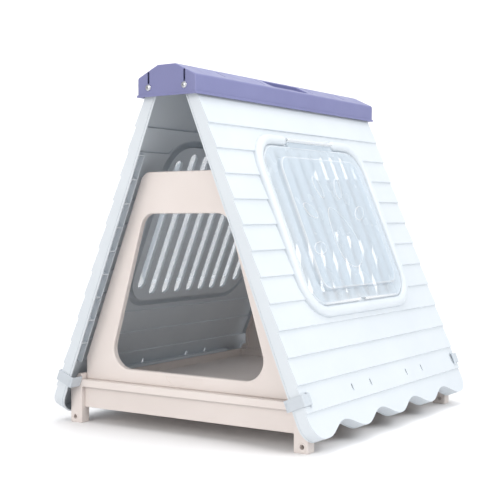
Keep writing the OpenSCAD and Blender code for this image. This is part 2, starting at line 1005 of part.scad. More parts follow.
module rear_gable() {
    vent_length = 150;
    vent_width = 16;
    vent_pitch = 38;
    vent_fall = 10;
    vent_z = (ledge_top + gable_top) / 2 + 20;
    side_vents = (vent_count - 1) / 2;
    color(warm_white)
        mirror([0, 1, 0])
            translate([0, -gable_front_y + gable_depth, 0])
                difference() {
                    gable_shell();
                    for (i = [-side_vents : side_vents])
                        translate([i * vent_pitch, 0, vent_z - vent_fall * abs(i)])
                            gable_solid(gable_depth + 1)
                                rotate(90)
                                    round_slot(vent_length, vent_width);
                }
}

// Base
module ring_walls(half_x, half_y, thickness, low, high) {
    translate([0, 0, low])
        linear_extrude(high - low)
            difference() {
                square([2 * half_x, 2 * half_y], center = true);
                square([2 * (half_x - thickness), 2 * (half_y - thickness)], center = true);
            }
}

module leg() {
    translate([0, -leg_front + leg_depth, 0])
        rotate([90, 0, 0])
            linear_extrude(leg_depth)
                polygon([
                    [leg_inner, 0], [leg_outer, 0], [leg_outer, leg_shoulder_z],
                    [leg_inner + leg_top_width, leg_top_z], [leg_inner, leg_top_z]
                ]);
}

module four_corners() {
    for (sx = [0, 1], sy = [0, 1])
        mirror([sx, 0, 0])
            mirror([0, sy, 0])
                children();
}

module base_tray() {
    ledge_inner_x = rim_half - side_ledge_width;
    ledge_inner_y = leg_front - ledge_width;
    tray_half_x = ledge_inner_x + base_wall;
    tray_half_y = ledge_inner_y + base_wall;
    apron_half_x = rim_half - apron_recess / 2;
    apron_half_y = leg_front - apron_recess;
    hole_shift = 3;
    hole_x = (leg_inner + leg_outer) / 2 + hole_shift;
    hole_z = 13;
    tab_slot = [tab_width + 2 * tab_clearance, wall + 2 * tab_clearance, 4 * base_wall];
    color(warm_white)
        difference() {
            union() {
                // ledge top, its outer face and its inner wall
                translate([0, 0, ledge_top - base_wall])
                    linear_extrude(base_wall)
                        difference() {
                            square([2 * rim_half, 2 * leg_front], center = true);
                            square([2 * ledge_inner_x, 2 * ledge_inner_y], center = true);
                        }
                ring_walls(rim_half, leg_front, base_wall, rim_bottom, ledge_top);
                ring_walls(tray_half_x, tray_half_y, base_wall, tray_floor_z, ledge_top);
                // apron
                ring_walls(apron_half_x, apron_half_y, base_wall, apron_gap, ledge_top);
                // floor
                translate([0, 0, tray_floor_z + base_wall / 2])
                    cube([2 * apron_half_x, 2 * apron_half_y, base_wall], center = true);
                four_corners()
                    leg();
            }
            four_corners()
                translate([hole_x, -leg_front, hole_z])
                    y_cylinder(-1, leg_depth + 1, peg_hole_diameter / 2);
            // slots for the gables' tabs
            for (sx = [-1, 1], sy = [0, 1])
                mirror([0, sy, 0])
                    translate([sx * tab_x, -gable_front_y + gable_depth / 2 - wall / 2, ledge_top])
                        cube(tab_slot, center = true);
        }
}

base_tray();
front_gable();
rear_gable();
ridge_cap();
left_side_panel();
right_side_panel();
left_window_cover();
right_window_cover();
left_hinge_rod();
right_hinge_rod();
front_left_clip();
front_right_clip();
rear_left_clip();
rear_right_clip();
front_left_screw();
front_right_screw();
rear_left_screw();
rear_right_screw();
front_left_nut();
front_right_nut();
rear_left_nut();
rear_right_nut();
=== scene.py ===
import json
from math import atan2, cos, hypot, pi, radians, sin, sqrt, tan
import bpy
import bmesh
from mathutils import Matrix, Vector


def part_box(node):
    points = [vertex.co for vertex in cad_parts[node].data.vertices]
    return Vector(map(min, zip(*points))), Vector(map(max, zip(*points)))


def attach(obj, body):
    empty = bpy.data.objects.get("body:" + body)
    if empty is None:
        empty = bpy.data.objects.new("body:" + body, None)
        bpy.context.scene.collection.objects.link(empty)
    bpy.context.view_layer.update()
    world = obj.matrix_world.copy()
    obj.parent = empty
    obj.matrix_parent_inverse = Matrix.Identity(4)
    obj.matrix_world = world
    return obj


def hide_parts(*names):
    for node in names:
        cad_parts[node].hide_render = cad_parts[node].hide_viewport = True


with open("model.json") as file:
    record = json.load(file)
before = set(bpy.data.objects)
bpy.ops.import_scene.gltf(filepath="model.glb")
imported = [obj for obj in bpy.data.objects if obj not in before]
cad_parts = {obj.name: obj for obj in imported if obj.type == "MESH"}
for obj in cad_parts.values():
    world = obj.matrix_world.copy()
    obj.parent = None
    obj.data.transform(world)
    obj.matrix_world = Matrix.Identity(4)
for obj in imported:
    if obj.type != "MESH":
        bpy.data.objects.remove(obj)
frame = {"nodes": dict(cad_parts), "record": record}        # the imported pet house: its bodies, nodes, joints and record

# Moulded plastic pet house. Each piece is built in millimetres on its own plane,
# then carried into the frame, which is in metres.

scene = bpy.context.scene
mm = 0.001
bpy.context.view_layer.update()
joints = {joint["name"]: joint for joint in frame["record"]["behaviour"]["joints"]}


def nodeBox(node):       # a node's corners in millimetres
    low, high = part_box(node)
    return Vector(low) / mm, Vector(high) / mm


# places that the frame gives
coverHinge = Vector(joints["right_cover_hinge"]["pos_m"]) / mm
clipHinge = Vector(joints["front_right_clip_hinge"]["pos_m"]) / mm
ridgePivot = Vector(joints["right_side_swing"]["pos_m"]) / mm
upSlope = Vector(joints["front_right_clip_hinge"]["axis"])
roofAngle = atan2(-upSlope.x, upSlope.z)
panelHigh = nodeBox("right_side_panel")[1]
capLow, capHigh = nodeBox("ridge_cap")
gableLow, gableHigh = nodeBox("front_gable")
baseHigh = nodeBox("base_tray")[1]
halfLength = panelHigh.y
tabHeight = 8            # the gables' tabs reach this far into the base's ledge
ledgeTop = gableLow.z + tabHeight

# Outlines
# Points are (a, b) pairs. A shape is a list of points and a list of faces.


def roundedCorners(points, radii, steps=8):
    outline = []
    count = len(points)
    for i in range(count):
        here = Vector(points[i])
        radius = radii[i]
        if radius <= 0:
            outline.append(tuple(here))
            continue
        toBefore = (Vector(points[i - 1]) - here).normalized()
        toAfter = (Vector(points[(i + 1) % count]) - here).normalized()
        half = toBefore.angle(toAfter) / 2
        centre = here + (toBefore + toAfter).normalized() * radius / sin(half)
        start = here + toBefore * radius / tan(half) - centre
        finish = here + toAfter * radius / tan(half) - centre
        first = atan2(start.y, start.x)
        sweep = (atan2(finish.y, finish.x) - first + 3 * pi) % (2 * pi) - pi
        for k in range(steps + 1):
            angle = first + sweep * k / steps
            outline.append((centre.x + radius * cos(angle), centre.y + radius * sin(angle)))
    return outline


def movedIn(points, inset):      # a polygon with every side moved inward
    count = len(points)
    area = sum(points[i - 1][0] * points[i][1] - points[i][0] * points[i - 1][1] for i in range(count))
    turn = 1 if area > 0 else -1
    result = []
    for i in range(count):
        before, here, after = (Vector(points[j]) for j in (i - 1, i, (i + 1) % count))
        d1 = (here - before).normalized()
        d2 = (after - here).normalized()
        n1 = Vector((-d1.y, d1.x)) * turn
        n2 = Vector((-d2.y, d2.x)) * turn
        bend = 1 + n1.dot(n2)
        result.append(tuple(here + (n1 + n2) * inset / bend))
    return result


def polygonOutline(points, radii, steps=8):      # a rounded polygon as a function of its inset
    return lambda inset: roundedCorners(
        movedIn(points, inset), [max(radius - inset, 0.2) if radius > 0 else 0 for radius in radii], steps)


def rectangleOutline(halfA, halfB, radius, centre=(0, 0), steps=8):
    a, b = centre
    corners = [(a - halfA, b - halfB), (a + halfA, b - halfB), (a + halfA, b + halfB), (a - halfA, b + halfB)]
    return polygonOutline(corners, [radius] * 4, steps)


# Shapes
def loft(rings):         # a closed shape through rings of equal count
    count = len(rings[0])
    points = [point for ring in rings for point in ring]
    faces = []
    for r in range(len(rings) - 1):
        for i in range(count):
            j = (i + 1) % count
            low, high = r * count, (r + 1) * count
            faces.append((low + i, low + j, high + j, high + i))
    faces.append(tuple(range(count - 1, -1, -1)))
    faces.append(tuple(range((len(rings) - 1) * count, len(rings) * count)))
    return points, faces


def merged(*shapes):
    points, faces = [], []
    for shapePoints, shapeFaces in shapes:
        faces += [tuple(i + len(points) for i in face) for face in shapeFaces]
        points += shapePoints
    return points, faces


# where an outline's (a, b) and its depth go
def alongZ(a, b, depth): return (a, b, depth)
def alongY(a, b, depth): return (a, depth, b)


def prism(outline, start, end, place=alongZ, startEdge=0, endEdge=0, steps=4):
    # a positive edge rounds the rim inward, a negative one flares it outward like a hole's lip
    stations = []
    if startEdge < 0:
        stations.append((startEdge, start - 2))
    for k in range(steps + 1 if startEdge else 1):
        swing = pi / 2 * k / steps
        stations.append((startEdge * (1 - sin(swing)), start + abs(startEdge) * (1 - cos(swing))))
    for k in range(steps + 1 if endEdge else 1):
        swing = pi / 2 * (1 - k / steps)
        stations.append((endEdge * (1 - sin(swing)), end - abs(endEdge) * (1 - cos(swing))))
    if endEdge < 0:
        stations.append((endEdge, end + 2))
    return loft([[place(a, b, depth) for a, b in outline(inset)] for inset, depth in stations])


def roundedBlock(low, high, radius, edge, place=alongZ):
    # radius rounds the four corners seen along the depth, edge rounds both rims
    (a0, b0, c0), (a1, b1, c1) = low, high
    outline = rectangleOutline((a1 - a0) / 2, (b1 - b0) / 2, radius, ((a0 + a1) / 2, (b0 + b1) / 2), 4)
    return prism(outline, c0, c1, place, edge, edge, 3)


def circleOutline(centre, radius, sides=32):
    return lambda inset: [
        (centre[0] + (radius - inset) * cos(2 * pi * i / sides),
         centre[1] + (radius - inset) * sin(2 * pi * i / sides)) for i in range(sides)]


def rod(centre, start, end, radius, place, edge=0, sides=32):
    return prism(circleOutline(centre, radius, sides), start, end, place, edge, edge, 3)


def sweep(path, section, scales):        # section points are (across, up), path points are (a, b)
    rings = []
    for i, (here, scale) in enumerate(zip(path, scales)):
        ahead = Vector(path[min(i + 1, len(path) - 1)])
        behind = Vector(path[max(i - 1, 0)])
        along = (ahead - behind).normalized()
        across = Vector((-along.y, along.x))
        rings.append([
            (here[0] + across.x * s * scale, here[1] + across.y * s * scale, up if up <= 0 else up * scale)
            for s, up in section])
    return loft(rings)


# Solids
def solid(shape, name="step"):
    mesh = bpy.data.meshes.new(name)
    mesh.from_pydata(shape[0], [], shape[1])
    work = bmesh.new()
    work.from_mesh(mesh)
    bmesh.ops.recalc_face_normals(work, faces=work.faces)
    work.to_mesh(mesh)
    work.free()
    piece = bpy.data.objects.new(name, mesh)
    scene.collection.objects.link(piece)
    return piece


def combine(piece, how, *shapes):        # how is UNION, DIFFERENCE or INTERSECT
    for shape in shapes:
        tool = solid(shape)
        step = piece.modifiers.new("step", "BOOLEAN")
        step.operation = how
        step.solver = "MANIFOLD"
        step.object = tool
        result = bpy.data.meshes.new_from_object(piece.evaluated_get(bpy.context.evaluated_depsgraph_get()))
        piece.modifiers.clear()
        spent = [piece.data, tool.data]
        piece.data = result
        bpy.data.objects.remove(tool)
        for mesh in spent:
            bpy.data.meshes.remove(mesh)
    return piece


def finished(piece, name, body, material, toFrame, edge=0.0, edgeAngle=40):
    # carries a piece into the frame, softens its edges and gives it its body and finish
    piece.name = name
    piece.data.name = name
    work = bmesh.new()
    work.from_mesh(piece.data)
    bmesh.ops.remove_doubles(work, verts=work.verts, dist=0.004)
    bmesh.ops.dissolve_degenerate(work, edges=work.edges, dist=0.004)
    bmesh.ops.transform(work, matrix=Matrix.Scale(mm, 4) @ toFrame, verts=work.verts)
    if toFrame.determinant() < 0:        # a mirrored piece is inside out until its faces turn
        bmesh.ops.reverse_faces(work, faces=work.faces)
    for face in work.faces:
        face.smooth = True
    for joint in work.edges:
        joint.smooth = len(joint.link_faces) == 2 and joint.calc_face_angle(0) < radians(32)
    work.to_mesh(piece.data)
    work.free()
    if edge:
        soften = piece.modifiers.new("soft edges", "BEVEL")
        soften.width = edge * mm
        soften.segments = 2
        soften.limit_method = "ANGLE"
        soften.angle_limit = radians(edgeAngle)
        soften.use_clamp_overlap = True
        soften.harden_normals = False
    flat = piece.modifiers.new("flat faces stay flat", "WEIGHTED_NORMAL")
    flat.keep_sharp = True
    piece.data.materials.clear()
    piece.data.materials.append(material)
    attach(piece, body)
    return piece


rightToLeft = Matrix.Diagonal((-1, 1, 1, 1))
frontToRear = Matrix.Diagonal((1, -1, 1, 1))


def slopeToFrame(side="right"):      # (u down the slope, y, w out of the boards) to the frame
    down = Vector((sin(roofAngle), 0, -cos(roofAngle)))
    out = Vector((cos(roofAngle), 0, sin(roofAngle)))
    origin = coverHinge - down * window["barU"] - out * window["barHeight"]
    onRight = Matrix((
        (down.x, 0, out.x, origin.x),
        (0, 1, 0, 0),
        (down.z, 0, out.z, origin.z),
        (0, 0, 0, 1)))
    return onRight if side == "right" else rightToLeft @ onRight


def faceX(z):            # X of the right panel's boards at a height
    origin = slopeToFrame().translation
    return origin.x + (origin.z - z) * tan(roofAngle)


# Materials
def linear(hexColour):
    channels = [int(hexColour[i:i + 2], 16) / 255 for i in (1, 3, 5)]
    return [c / 12.92 if c <= 0.04045 else ((c + 0.055) / 1.055) ** 2.4 for c in channels] + [1]


def perMetre(size):      # a pattern's scale from its real size in millimetres
    return 1 / (size * mm)


def addNode(tree, kind, settings=None, inputs=None):
    node = tree.nodes.new(kind)
    for key, value in (settings or {}).items():
        setattr(node, key, value)
    for key, value in (inputs or {}).items():
        if isinstance(value, bpy.types.NodeSocket):
            tree.links.new(value, node.inputs[key])
        else:
            node.inputs[key].default_value = value
    return node


def plasticMaterial(name, finish):
    # A moulded plastic: a spark-eroded tool leaves a fine grain, cooling leaves faint broad sinks,
    # and the flow of the melt leaves the colour a little uneven.
    material = bpy.data.materials.new(name)
    material.use_nodes = True
    tree = material.node_tree
    shader = tree.nodes["Principled BSDF"]
    place = addNode(tree, "ShaderNodeTexCoord").outputs["Object"]
    flow = addNode(tree, "ShaderNodeTexNoise", None, {
        "Vector": place, "Scale": perMetre(finish["flowSize"]), "Detail": 3.0, "Roughness": 0.55})
    tone = addNode(tree, "ShaderNodeMix", {"data_type": "RGBA"}, {
        "Factor": flow.outputs["Fac"], "A": linear(finish["darker"]), "B": linear(finish["lighter"])})
    handling = addNode(tree, "ShaderNodeTexNoise", None, {
        "Vector": place, "Scale": perMetre(finish["handlingSize"]), "Detail": 5.0, "Roughness": 0.6})
    sheen = addNode(tree, "ShaderNodeMapRange", None, {
        "Value": handling.outputs["Fac"], "From Min": 0.3, "From Max": 0.7,
        "To Min": finish["roughness"] - 0.05, "To Max": finish["roughness"] + 0.07})
    grain = addNode(tree, "ShaderNodeTexNoise", None, {
        "Vector": place, "Scale": perMetre(finish["grainSize"]), "Detail": 2.0})
    sinks = addNode(tree, "ShaderNodeTexNoise", None, {
        "Vector": place, "Scale": perMetre(finish["sinkSize"]), "Detail": 1.0})
    broad = addNode(tree, "ShaderNodeBump", None, {
        "Height": sinks.outputs["Fac"], "Strength": finish["sinkStrength"], "Distance": 0.004})
    fine = addNode(tree, "ShaderNodeBump", None, {
        "Height": grain.outputs["Fac"], "Strength": finish["grainStrength"], "Distance": 0.0004,
        "Normal": broad.outputs["Normal"]})
    for socket, source in (("Base Color", tone.outputs["Result"]), ("Roughness", sheen.outputs["Result"]),
                           ("Normal", fine.outputs["Normal"])):
        tree.links.new(source, shader.inputs[socket])
    shader.inputs["IOR"].default_value = 1.49
    return material


# Polypropylene, moulded in a finely eroded tool: soft low gloss, highlights spread wide
panelFinish = {
    "darker": "#c6cdd3", "lighter": "#d0d6db", "flowSize": 140, "handlingSize": 45, "roughness": 0.44,
    "grainSize": 1.4, "grainStrength": 0.22, "sinkSize": 90, "sinkStrength": 0.12,
}
# The cap's polypropylene is pigmented blue-violet and a little glossier
capFinish = {
    "darker": "#6f719a", "lighter": "#7b7ea6", "flowSize": 110, "handlingSize": 40, "roughness": 0.4,
    "grainSize": 1.4, "grainStrength": 0.25, "sinkSize": 80, "sinkStrength": 0.14,
}
# Warm white polypropylene with a dull, slightly coarser grain
gableFinish = {
    "darker": "#d6cdc8", "lighter": "#e0d8d4", "flowSize": 130, "handlingSize": 50, "roughness": 0.5,
    "grainSize": 1.6, "grainStrength": 0.28, "sinkSize": 90, "sinkStrength": 0.1,
}
# Clips are moulded in a tougher grade, greyer and smoother
clipFinish = {
    "darker": "#b6bdc4", "lighter": "#c0c7cd", "flowSize": 40, "handlingSize": 20, "roughness": 0.38,
    "grainSize": 1.2, "grainStrength": 0.15, "sinkSize": 30, "sinkStrength": 0.1,
}
panelPolypropylene = plasticMaterial("panelPolypropylene", panelFinish)
capPolypropylene = plasticMaterial("capPolypropylene", capFinish)
gablePolypropylene = plasticMaterial("gablePolypropylene", gableFinish)
clipPolypropylene = plasticMaterial("clipPolypropylene", clipFinish)

# Frosted clear polypropylene: milky, so what lies close behind shows and what lies deeper blurs
coverFinish = {
    # edge is the white painted on rims and ridges as a painted highlight
    "face": "#d3dfe9", "edge": "#ffffff", "cover": 0.42, "roughness": 0.24, "hazeSize": 60, "grainSize": 1.5,
}


def frostedMaterial(finish):
    material = bpy.data.materials.new("frostedPolypropylene")
    material.use_nodes = True
    tree = material.node_tree
    shader = tree.nodes["Principled BSDF"]
    place = addNode(tree, "ShaderNodeTexCoord").outputs["Object"]
    haze = addNode(tree, "ShaderNodeTexNoise", None, {
        "Vector": place, "Scale": perMetre(finish["hazeSize"]), "Detail": 3.0})
    frost = addNode(tree, "ShaderNodeMapRange", None, {
        "Value": haze.outputs["Fac"], "From Min": 0.3, "From Max": 0.7,
        "To Min": finish["roughness"] - 0.03, "To Max": finish["roughness"] + 0.05})
    grain = addNode(tree, "ShaderNodeTexNoise", None, {
        "Vector": place, "Scale": perMetre(finish["grainSize"]), "Detail": 2.0})
    relief = addNode(tree, "ShaderNodeBump", None, {
        "Height": grain.outputs["Fac"], "Strength": 0.04, "Distance": 0.0003})
    # painted highlight: rims and ridges (high pointiness) are painted whiter, standing in for the light they
    # catch
    ridges = addNode(tree, "ShaderNodeNewGeometry").outputs["Pointiness"]
    paintedRimHighlight = addNode(tree, "ShaderNodeMapRange", None, {"Value": ridges, "From Min": 0.505, "From Max": 0.56})
    tone = addNode(tree, "ShaderNodeMix", {"data_type": "RGBA"}, {
        "Factor": paintedRimHighlight.outputs["Result"], "A": linear(finish["face"]), "B": linear(finish["edge"])})
    tree.links.new(tone.outputs["Result"], shader.inputs["Base Color"])
    tree.links.new(frost.outputs["Result"], shader.inputs["Roughness"])
    tree.links.new(relief.outputs["Normal"], shader.inputs["Normal"])
    shader.inputs["Alpha"].default_value = finish["cover"]
    shader.inputs["IOR"].default_value = 1.49
    return material


frostedPolypropylene = frostedMaterial(coverFinish)

# Zinc-plated steel, rolled and turned: bright, with fine turning marks and a faint bluish cloud
zincFinish = {"bright": "#d2d4d8", "dull": "#a9abb0", "cloudSize": 4, "markSize": 0.5}


def zincMaterial(finish):
    material = bpy.data.materials.new("zincPlatedSteel")
    material.use_nodes = True
    tree = material.node_tree
    shader = tree.nodes["Principled BSDF"]
    place = addNode(tree, "ShaderNodeTexCoord").outputs["Object"]
    cloud = addNode(tree, "ShaderNodeTexNoise", None, {
        "Vector": place, "Scale": perMetre(finish["cloudSize"]), "Detail": 4.0})
    tone = addNode(tree, "ShaderNodeMix", {"data_type": "RGBA"}, {
        "Factor": cloud.outputs["Fac"], "A": linear(finish["dull"]), "B": linear(finish["bright"])})
    marks = addNode(tree, "ShaderNodeTexNoise", None, {
        "Vector": place, "Scale": perMetre(finish["markSize"]), "Detail": 2.0})
    wear = addNode(tree, "ShaderNodeMapRange", None, {
        "Value": marks.outputs["Fac"], "To Min": 0.22, "To Max": 0.4})
    relief = addNode(tree, "ShaderNodeBump", None, {
        "Height": marks.outputs["Fac"], "Strength": 0.15, "Distance": 0.0002})
    tree.links.new(tone.outputs["Result"], shader.inputs["Base Color"])
    tree.links.new(wear.outputs["Result"], shader.inputs["Roughness"])
    tree.links.new(relief.outputs["Normal"], shader.inputs["Normal"])
    shader.inputs["Metallic"].default_value = 1.0
    return material


zincPlatedSteel = zincMaterial(zincFinish)
print("materials ready")

# Side panels
panel = {
    "boardPitch": 56, "boardCount": 13, "boardStep": 4, "boardRound": 1.5,
    "tuck": 46, "wall": 3, "flange": 32, "cornerRadius": 42,
    "waves": 4, "waveDepth": 25, "waveMargin": 50,
    "grooveWidth": 1.5, "grooveDepth": 0.8, "grooveFromEdge": 3.5,
    "softEdge": 0.9,
}
window = {
    "barU": 81, "barHeight": 5,      # the cover's hinge, down the slope and above the boards
    "top": 69, "width": 502, "height": 424, "beadWidth": 24, "beadHeight": 10, "beadRadius": 86,
    "hingeGap": 206, "rodReach": 12, "rodSeat": 2.1, "rodHole": 2.08,
    "slots": 9, "slotPitch": 49, "slotWidth": 25, "slotMargin": 22, "plate": 6, "plateTop": -3,
}
window["middle"] = window["top"] + window["height"] / 2
window["innerRadius"] = window["beadRadius"] - window["beadWidth"]
window["innerHalfU"] = window["height"] / 2 - window["beadWidth"]
window["innerHalfY"] = window["width"] / 2 - window["beadWidth"]
panelFoot = panel["boardCount"] * panel["boardPitch"]


def panelOutline(inset):
    tuck, radius = panel["tuck"], panel["cornerRadius"]
    span = 2 * halfLength - 2 * panel["waveMargin"]
    pitch = span / panel["waves"]

    def corner(side, swing):
        reach = radius - inset
        return (panelFoot - radius + reach * sin(swing), side * (halfLength - radius + reach * cos(swing)))

    def wave(along):
        phase = 2 * pi * along / pitch
        slope = -panel["waveDepth"] * pi / pitch * sin(phase)
        u = panelFoot - panel["waveDepth"] / 2 * (1 - cos(phase))
        run = hypot(1, slope)
        return (u - inset / run, along - span / 2 + inset * slope / run)

    steps, waveSteps = 10, 20
    outline = [(-tuck + inset, -halfLength + inset)]
    outline += [corner(-1, pi / 2 * k / steps) for k in range(steps + 1)]
    outline += [wave(pitch * k / waveSteps) for k in range(panel["waves"] * waveSteps + 1)]
    outline += [corner(1, pi / 2 * k / steps) for k in range(steps, -1, -1)]
    outline += [(-tuck + inset, halfLength - inset)]
    return outline


def boardLine(inset, depth):     # stepped boards seen from the end, closed below
    pitch, step, count = panel["boardPitch"], panel["boardStep"], panel["boardCount"]
    points, radii = [(-2 * panel["tuck"], -step - inset)], [0]
    for k in range(count):
        points += [(k * pitch - inset, -step - inset), ((k + 1) * pitch - inset, -inset)]
        radii += [0 if k == 0 else panel["boardRound"] * 0.6, 0 if k == count - 1 else panel["boardRound"]]
    points += [(panelFoot + panel["tuck"], -inset), (panelFoot + panel["tuck"], -depth),
               (-2 * panel["tuck"], -depth)]
    return roundedCorners(points, radii + [0, 0, 0], 4)


def trayShape(inset, depth):
    block = solid(prism(lambda _: panelOutline(inset), -depth, 1))
    return combine(block, "INTERSECT", prism(
        lambda _: boardLine(inset, depth + 1), -2 * halfLength, 2 * halfLength, alongY))


def shapeOf(piece):      # takes a solid apart into a shape again
    shape = [tuple(v.co) for v in piece.data.vertices], [tuple(p.vertices) for p in piece.data.polygons]
    mesh = piece.data
    bpy.data.objects.remove(piece)
    bpy.data.meshes.remove(mesh)
    return shape


def beadPath():          # centre line of the bead, from one side of the hinge gap to the other
    halfU = (window["height"] - window["beadWidth"]) / 2
    halfY = (window["width"] - window["beadWidth"]) / 2
    radius = window["beadRadius"] - window["beadWidth"] / 2
    gap = window["hingeGap"] / 2
    path = []
    for step in range(9):        # close steps where the bead's end rounds off
        path.append((-halfU, -gap - 13 * (1 - cos(pi / 2 * step / 8))))
    corners = [(-halfU + radius, -halfY + radius, pi), (halfU - radius, -halfY + radius, 1.5 * pi),
               (halfU - radius, halfY - radius, 2 * pi), (-halfU + radius, halfY - radius, 2.5 * pi)]
    for u, y, first in corners:
        swings = [first + pi / 2 * k / 12 for k in range(13)]
        path += [(u + radius * cos(swing), y + radius * sin(swing)) for swing in swings]
    path += [(u, -y) for u, y in path[8::-1]]
    return [(window["middle"] + u, y) for u, y in path]


def beadShape(narrow, lower, floor):
    path = beadPath()
    half = window["beadWidth"] / 2 - narrow
    height = window["beadHeight"] - lower
    section = [(-half, floor)] + [
        (-half * cos(pi * k / 14), height * sin(pi * k / 14)) for k in range(15)] + [(half, floor)]
    scales = [1.0] * len(path)
    for step in range(9):
        scales[step] = scales[-1 - step] = max(0.12, sin(pi / 2 * step / 8))
    return sweep(path, section, scales)


def slotDrop(i):         # the slots follow the window's rounded outline
    y = abs(i) * window["slotPitch"] + window["slotWidth"] / 2
    edge = window["innerHalfY"] - window["innerRadius"]
    return 0 if y < edge else window["innerRadius"] - sqrt(window["innerRadius"] ** 2 - (y - edge) ** 2)


def windowSlots():
    side = (window["slots"] - 1) // 2
    slots = []
    for i in range(-side, side + 1):
        halfU = window["innerHalfU"] - window["slotMargin"] / 2 - slotDrop(i)
        outline = rectangleOutline(
            halfU, window["slotWidth"] / 2, window["slotWidth"] / 2 - 0.01,
            (window["middle"], i * window["slotPitch"]), 8)
        slots.append(prism(outline, -panel["flange"], window["plateTop"], alongZ, 0, -1.2))
    return merged(*slots)


def acrossSlope(a, b, depth): return (depth, a, b)       # outline in (y, w), depth down the slope


def slopePoint(x, z):    # a frame point in the panel's own directions
    local = slopeToFrame().inverted() @ Vector((x, 0, z))
    return (local.x, local.z)


ladder = {"near": 8, "far": 38, "rib": 2.5, "reach": 19, "startBoard": 2, "endBoards": 2.1}


def ladderShape():       # two rails and their rungs inside each end, trimmed halfway into the boards
    start = ladder["startBoard"] * panel["boardPitch"]
    end = panelFoot - ladder["endBoards"] * panel["boardPitch"]
    rails, rungs = [], []
    for side in (-1, 1):
        for place in (ladder["near"], ladder["far"]):
            y = side * (halfLength - place - ladder["rib"] / 2)
            rails.append(roundedBlock(
                (start, y - ladder["rib"] / 2, -ladder["reach"]),
                (end, y + ladder["rib"] / 2, 1), 0.5, 0.4))
        u = start
        while u < end + 0.1:
            low, high = sorted((side * (halfLength - ladder["near"]), side * (halfLength - ladder["far"])))
            rungs.append(roundedBlock(
                (u, low, -ladder["reach"] + 0.05), (u + ladder["rib"], high, 1), 0.5, 0.4))
            u += panel["boardPitch"]
    piece = combine(solid(merged(*rails)), "UNION", merged(*rungs))
    return shapeOf(combine(piece, "INTERSECT", prism(
        lambda _: boardLine(panel["wall"] / 2, panel["flange"]), -2 * halfLength, 2 * halfLength, alongY)))


clip = {
    "width": 24, "thickness": 3, "reach": 22, "grip": 10, "bar": 3, "barHeight": 2.3, "ear": 3, "rest": 0.3,
    "ribs": 3, "ribRadius": 1, "slot": 3, "slotBehind": 5, "barrelWall": 1.3, "turning": 0.08,
}
clipU = slopePoint(clipHinge.x, clipHinge.z)[0]
footSlots = {"places": (-172, -89, 89, 172), "length": 15, "width": 5}
screwHole = 3.08         # radius of the holes round the ridge screws


def earShapes():         # two ears and the moulded bar that each clip turns on
    ears, bars = [], []
    radius = clip["bar"] / 2 + clip["barrelWall"]
    for side in (-1, 1):
        y = side * (halfLength - clip["reach"])
        for end in (-1, 1):
            u = clipU + end * (clip["width"] / 2 + clip["rest"] + clip["ear"] / 2)
            half = (clip["barHeight"] + radius + panel["wall"]) / 2
            outline = rectangleOutline(radius, half, radius - 0.05, (y, half - panel["wall"]))
            ears.append(prism(outline, u - clip["ear"] / 2, u + clip["ear"] / 2, acrossSlope, 0.4, 0.4, 3))
        reach = clip["width"] / 2 + clip["ear"]
        bars.append(rod((y, clip["barHeight"]), clipU - reach, clipU + reach, clip["bar"] / 2, acrossSlope))
    return merged(*ears), merged(*bars)


def sidePanelSolid():
    wall, flange = panel["wall"], panel["flange"]
    pivotU, pivotW = slopePoint(ridgePivot.x, ridgePivot.z)
    piece = trayShape(0, flange)
    combine(piece, "DIFFERENCE", shapeOf(trayShape(wall, flange + 1)))
    plate = rectangleOutline(
        (window["height"] - window["beadWidth"]) / 2, (window["width"] - window["beadWidth"]) / 2,
        window["beadRadius"] - window["beadWidth"] / 2, (window["middle"], 0))
    bosses = merged(*[rod((pivotU, pivotW), *sorted((side * halfLength, side * (halfLength - 2 * wall))),
                          8, alongY, 0.6) for side in (-1, 1)])
    combine(piece, "UNION", beadShape(0, 0, -panel["boardStep"] - 1),
            prism(plate, window["plateTop"] - window["plate"], window["plateTop"], alongZ, 0.8, 0),
            bosses, ladderShape(), *earShapes())
    groove = -flange + panel["grooveFromEdge"]
    ring = combine(
        solid(prism(lambda _: rectangleOutline(2 * panelFoot, 2 * halfLength, 1)(0),
                    groove, groove + panel["grooveWidth"])), "DIFFERENCE",
        prism(lambda _: panelOutline(panel["grooveDepth"]), groove - 1, groove + panel["grooveWidth"] + 1))
    opening = rectangleOutline(
        window["innerHalfU"], window["innerHalfY"], window["innerRadius"], (window["middle"], 0))
    seatEnd = window["hingeGap"] / 2 + window["rodReach"]
    seats = rod((window["barU"], window["barHeight"]), -seatEnd, seatEnd, window["rodSeat"], alongY)
    halfU, halfY = footSlots["length"] / 2, footSlots["width"] / 2
    short = [roundedBlock(
        (clipU - halfU, y - halfY, -flange / 2), (clipU + halfU, y + halfY, flange / 2), 1.2, 0)
        for y in footSlots["places"]]
    for side in (-1, 1):
        y = side * (halfLength - clip["reach"] - clip["slotBehind"])
        short.append(roundedBlock((clipU - clip["width"] / 2 + 1, y - clip["slot"] / 2, -flange / 2),
                                  (clipU + clip["width"] / 2 - 1, y + clip["slot"] / 2, flange / 2), 0.6, 0))
    pivots = merged(*[rod((pivotU, pivotW), *sorted((side * (halfLength + 5), side * (halfLength - 4 * wall))),
                          screwHole, alongY) for side in (-1, 1)])
    combine(piece, "DIFFERENCE", shapeOf(ring),
            prism(opening, window["plateTop"], window["beadHeight"] + 5),
            windowSlots(), beadShape(wall + 1, wall, -flange), seats, merged(*short), pivots)
    seat = [slopePoint(x, z) for x, z in seatCorners()]
    return combine(piece, "UNION", prism(
        polygonOutline(seat, [0.8, 0, 0, 0.8], 3), -seatRail["length"] / 2, seatRail["length"] / 2,
        alongY, 0.6, 0.6))


seatRail = {"height": 6, "reach": 11, "length": 2 * halfLength - 260, "rimFromLeg": 9, "gap": 0.3}


